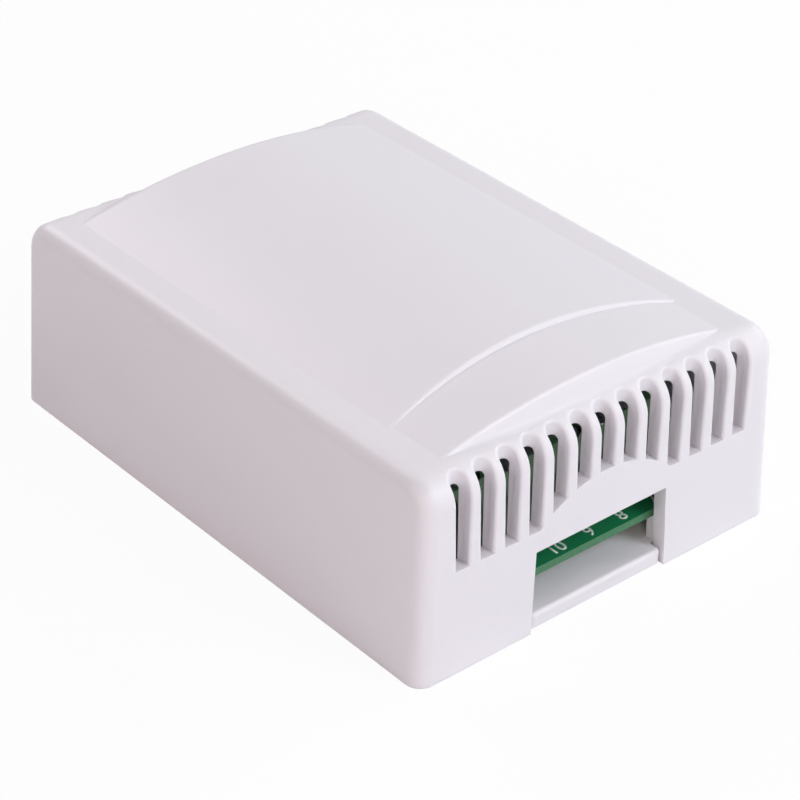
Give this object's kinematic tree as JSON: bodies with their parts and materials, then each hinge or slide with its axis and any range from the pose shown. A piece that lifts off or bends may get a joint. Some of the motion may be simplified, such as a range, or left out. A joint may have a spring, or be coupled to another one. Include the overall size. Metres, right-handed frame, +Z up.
{
  "type": "radio receiver module",
  "caption": "Flat plastic box with an arched top, vent slots and wire windows at both ends, over a relay board with a radio receiver and screw terminals.",
  "frame": {"origin": "middle of the underside, on the surface the box stands on", "axes": "+X across the width, +Y along the length towards terminals 1 to 6, +Z up"},
  "size_m": [0.054, 0.074, 0.0279],
  "materials": {
    "casing_plastic": "fine matte white ABS",
    "board_laminate": "green solder resist on glass-fibre laminate",
    "terminal_plastic": "green moulded polyamide",
    "zinc_steel": "zinc-plated steel",
    "tinned_copper": "tin-plated copper",
    "relay_cover_plastic": "black moulded polyester",
    "relay_base_plastic": "black moulded polyester",
    "relay_iron": "nickel-plated soft iron",
    "coil_winding": "enamelled copper wire on a bobbin",
    "capacitor_sleeve": "shrunk sleeve over an aluminium can",
    "package_plastic": "black moulding compound",
    "fuse_plastic": "brown moulded case",
    "varistor_coating": "blue epoxy coating",
    "resistor_coating": "tan lacquer",
    "crystal_can": "nickel-plated can",
    "antenna_copper": "enamelled copper wire",
    "led_plastic": "red diffused epoxy",
    "button_plastic": "black moulded plastic"
  },
  "bodies": {
    "base": {"base_plate": "casing_plastic", "circuit_board": "board_laminate", "board_screws": "zinc_steel", "front_terminal_block": "terminal_plastic", "back_terminal_block": "terminal_plastic", "terminal_bars": "tinned_copper", "relay_cover_1": "relay_cover_plastic", "relay_base_1": "relay_base_plastic", "relay_contacts_1": "tinned_copper", "relay_coil_1": "coil_winding", "relay_yoke_1": "relay_iron", "relay_cover_2": "relay_cover_plastic", "relay_base_2": "relay_base_plastic", "relay_contacts_2": "tinned_copper", "relay_coil_2": "coil_winding", "relay_yoke_2": "relay_iron", "smoothing_capacitor": "capacitor_sleeve", "bridge_rectifier": "package_plastic", "voltage_regulator": "package_plastic", "input_fuse": "fuse_plastic", "surge_varistor": "varistor_coating", "radio_board": "board_laminate", "radio_pins": "tinned_copper", "radio_chip": "package_plastic", "radio_crystal": "crystal_can", "antenna_loop": "antenna_copper", "controller_chip": "package_plastic", "relay_driver_transistors": "package_plastic", "flyback_diodes": "package_plastic", "resistors": "resistor_coating", "status_led": "led_plastic", "learn_button_body": "button_plastic"},
    "cover": {"upper_shell": "casing_plastic"},
    "clamp_01": {"terminal_clamp_01": "zinc_steel"},
    "screw_01": {"terminal_screw_01": "zinc_steel"},
    "clamp_02": {"terminal_clamp_02": "zinc_steel"},
    "screw_02": {"terminal_screw_02": "zinc_steel"},
    "clamp_03": {"terminal_clamp_03": "zinc_steel"},
    "screw_03": {"terminal_screw_03": "zinc_steel"},
    "clamp_04": {"terminal_clamp_04": "zinc_steel"},
    "screw_04": {"terminal_screw_04": "zinc_steel"},
    "clamp_05": {"terminal_clamp_05": "zinc_steel"},
    "screw_05": {"terminal_screw_05": "zinc_steel"},
    "clamp_06": {"terminal_clamp_06": "zinc_steel"},
    "screw_06": {"terminal_screw_06": "zinc_steel"},
    "clamp_07": {"terminal_clamp_07": "zinc_steel"},
    "screw_07": {"terminal_screw_07": "zinc_steel"},
    "clamp_08": {"terminal_clamp_08": "zinc_steel"},
    "screw_08": {"terminal_screw_08": "zinc_steel"},
    "clamp_09": {"terminal_clamp_09": "zinc_steel"},
    "screw_09": {"terminal_screw_09": "zinc_steel"},
    "clamp_10": {"terminal_clamp_10": "zinc_steel"},
    "screw_10": {"terminal_screw_10": "zinc_steel"},
    "clamp_11": {"terminal_clamp_11": "zinc_steel"},
    "screw_11": {"terminal_screw_11": "zinc_steel"},
    "clamp_12": {"terminal_clamp_12": "zinc_steel"},
    "screw_12": {"terminal_screw_12": "zinc_steel"},
    "armature_1": {"relay_armature_1": "relay_iron"},
    "armature_2": {"relay_armature_2": "relay_iron"},
    "button_cap": {"learn_button_cap": "button_plastic"}
  },
  "joints": [
    {"name": "cover_lift", "type": "slide", "parent": "base", "child": "cover", "axis": [0, 0, 1], "range_m": [0, 0.03]},
    {"name": "clamp_01_travel", "type": "slide", "parent": "base", "child": "clamp_01", "axis": [0, 0, 1], "range_m": [0, 0.0022]},
    {"name": "screw_01_turn", "type": "hinge", "parent": "base", "child": "screw_01", "pos_m": [-0.01125, 0.0278, 0.0173], "axis": [0, 0, -1], "range_deg": [0, 1760.5]},
    {"name": "clamp_02_travel", "type": "slide", "parent": "base", "child": "clamp_02", "axis": [0, 0, 1], "range_m": [0, 0.0022]},
    {"name": "screw_02_turn", "type": "hinge", "parent": "base", "child": "screw_02", "pos_m": [-0.00625, 0.0278, 0.0173], "axis": [0, 0, -1], "range_deg": [0, 1760.5]},
    {"name": "clamp_03_travel", "type": "slide", "parent": "base", "child": "clamp_03", "axis": [0, 0, 1], "range_m": [0, 0.0022]},
    {"name": "screw_03_turn", "type": "hinge", "parent": "base", "child": "screw_03", "pos_m": [-0.00125, 0.0278, 0.0173], "axis": [0, 0, -1], "range_deg": [0, 1760.5]},
    {"name": "clamp_04_travel", "type": "slide", "parent": "base", "child": "clamp_04", "axis": [0, 0, 1], "range_m": [0, 0.0022]},
    {"name": "screw_04_turn", "type": "hinge", "parent": "base", "child": "screw_04", "pos_m": [0.00375, 0.0278, 0.0173], "axis": [0, 0, -1], "range_deg": [0, 1760.5]},
    {"name": "clamp_05_travel", "type": "slide", "parent": "base", "child": "clamp_05", "axis": [0, 0, 1], "range_m": [0, 0.0022]},
    {"name": "screw_05_turn", "type": "hinge", "parent": "base", "child": "screw_05", "pos_m": [0.00875, 0.0278, 0.0173], "axis": [0, 0, -1], "range_deg": [0, 1760.5]},
    {"name": "clamp_06_travel", "type": "slide", "parent": "base", "child": "clamp_06", "axis": [0, 0, 1], "range_m": [0, 0.0022]},
    {"name": "screw_06_turn", "type": "hinge", "parent": "base", "child": "screw_06", "pos_m": [0.01375, 0.0278, 0.0173], "axis": [0, 0, -1], "range_deg": [0, 1760.5]},
    {"name": "clamp_07_travel", "type": "slide", "parent": "base", "child": "clamp_07", "axis": [0, 0, 1], "range_m": [0, 0.0022]},
    {"name": "screw_07_turn", "type": "hinge", "parent": "base", "child": "screw_07", "pos_m": [0.01125, -0.0278, 0.0173], "axis": [0, 0, -1], "range_deg": [0, 1760.5]},
    {"name": "clamp_08_travel", "type": "slide", "parent": "base", "child": "clamp_08", "axis": [0, 0, 1], "range_m": [0, 0.0022]},
    {"name": "screw_08_turn", "type": "hinge", "parent": "base", "child": "screw_08", "pos_m": [0.00625, -0.0278, 0.0173], "axis": [0, 0, -1], "range_deg": [0, 1760.5]},
    {"name": "clamp_09_travel", "type": "slide", "parent": "base", "child": "clamp_09", "axis": [0, 0, 1], "range_m": [0, 0.0022]},
    {"name": "screw_09_turn", "type": "hinge", "parent": "base", "child": "screw_09", "pos_m": [0.00125, -0.0278, 0.0173], "axis": [0, 0, -1], "range_deg": [0, 1760.5]},
    {"name": "clamp_10_travel", "type": "slide", "parent": "base", "child": "clamp_10", "axis": [0, 0, 1], "range_m": [0, 0.0022]},
    {"name": "screw_10_turn", "type": "hinge", "parent": "base", "child": "screw_10", "pos_m": [-0.00375, -0.0278, 0.0173], "axis": [0, 0, -1], "range_deg": [0, 1760.5]},
    {"name": "clamp_11_travel", "type": "slide", "parent": "base", "child": "clamp_11", "axis": [0, 0, 1], "range_m": [0, 0.0022]},
    {"name": "screw_11_turn", "type": "hinge", "parent": "base", "child": "screw_11", "pos_m": [-0.00875, -0.0278, 0.0173], "axis": [0, 0, -1], "range_deg": [0, 1760.5]},
    {"name": "clamp_12_travel", "type": "slide", "parent": "base", "child": "clamp_12", "axis": [0, 0, 1], "range_m": [0, 0.0022]},
    {"name": "screw_12_turn", "type": "hinge", "parent": "base", "child": "screw_12", "pos_m": [-0.01375, -0.0278, 0.0173], "axis": [0, 0, -1], "range_deg": [0, 1760.5]},
    {"name": "relay_armature_1_close", "type": "hinge", "parent": "base", "child": "armature_1", "pos_m": [-0.0152, -0.0043, 0.0178], "axis": [1, 0, 0], "range_deg": [0, 3], "stiffness_Nm_per_rad": 0.02, "springref_deg": -5.73},
    {"name": "relay_armature_2_close", "type": "hinge", "parent": "base", "child": "armature_2", "pos_m": [0.0014, -0.0043, 0.0178], "axis": [1, 0, 0], "range_deg": [0, 3], "stiffness_Nm_per_rad": 0.02, "springref_deg": -5.73},
    {"name": "learn_button_press", "type": "slide", "parent": "base", "child": "button_cap", "axis": [0, 0, -1], "range_m": [0, 0.00025], "stiffness_N_per_m": 2000, "springref_m": -0.0003}
  ],
  "couplings": [
    {"joint": "screw_01_turn", "follows": "clamp_01_travel", "rad_per_m": 13963},
    {"joint": "screw_02_turn", "follows": "clamp_02_travel", "rad_per_m": 13963},
    {"joint": "screw_03_turn", "follows": "clamp_03_travel", "rad_per_m": 13963},
    {"joint": "screw_04_turn", "follows": "clamp_04_travel", "rad_per_m": 13963},
    {"joint": "screw_05_turn", "follows": "clamp_05_travel", "rad_per_m": 13963},
    {"joint": "screw_06_turn", "follows": "clamp_06_travel", "rad_per_m": 13963},
    {"joint": "screw_07_turn", "follows": "clamp_07_travel", "rad_per_m": 13963},
    {"joint": "screw_08_turn", "follows": "clamp_08_travel", "rad_per_m": 13963},
    {"joint": "screw_09_turn", "follows": "clamp_09_travel", "rad_per_m": 13963},
    {"joint": "screw_10_turn", "follows": "clamp_10_travel", "rad_per_m": 13963},
    {"joint": "screw_11_turn", "follows": "clamp_11_travel", "rad_per_m": 13963},
    {"joint": "screw_12_turn", "follows": "clamp_12_travel", "rad_per_m": 13963}
  ]
}
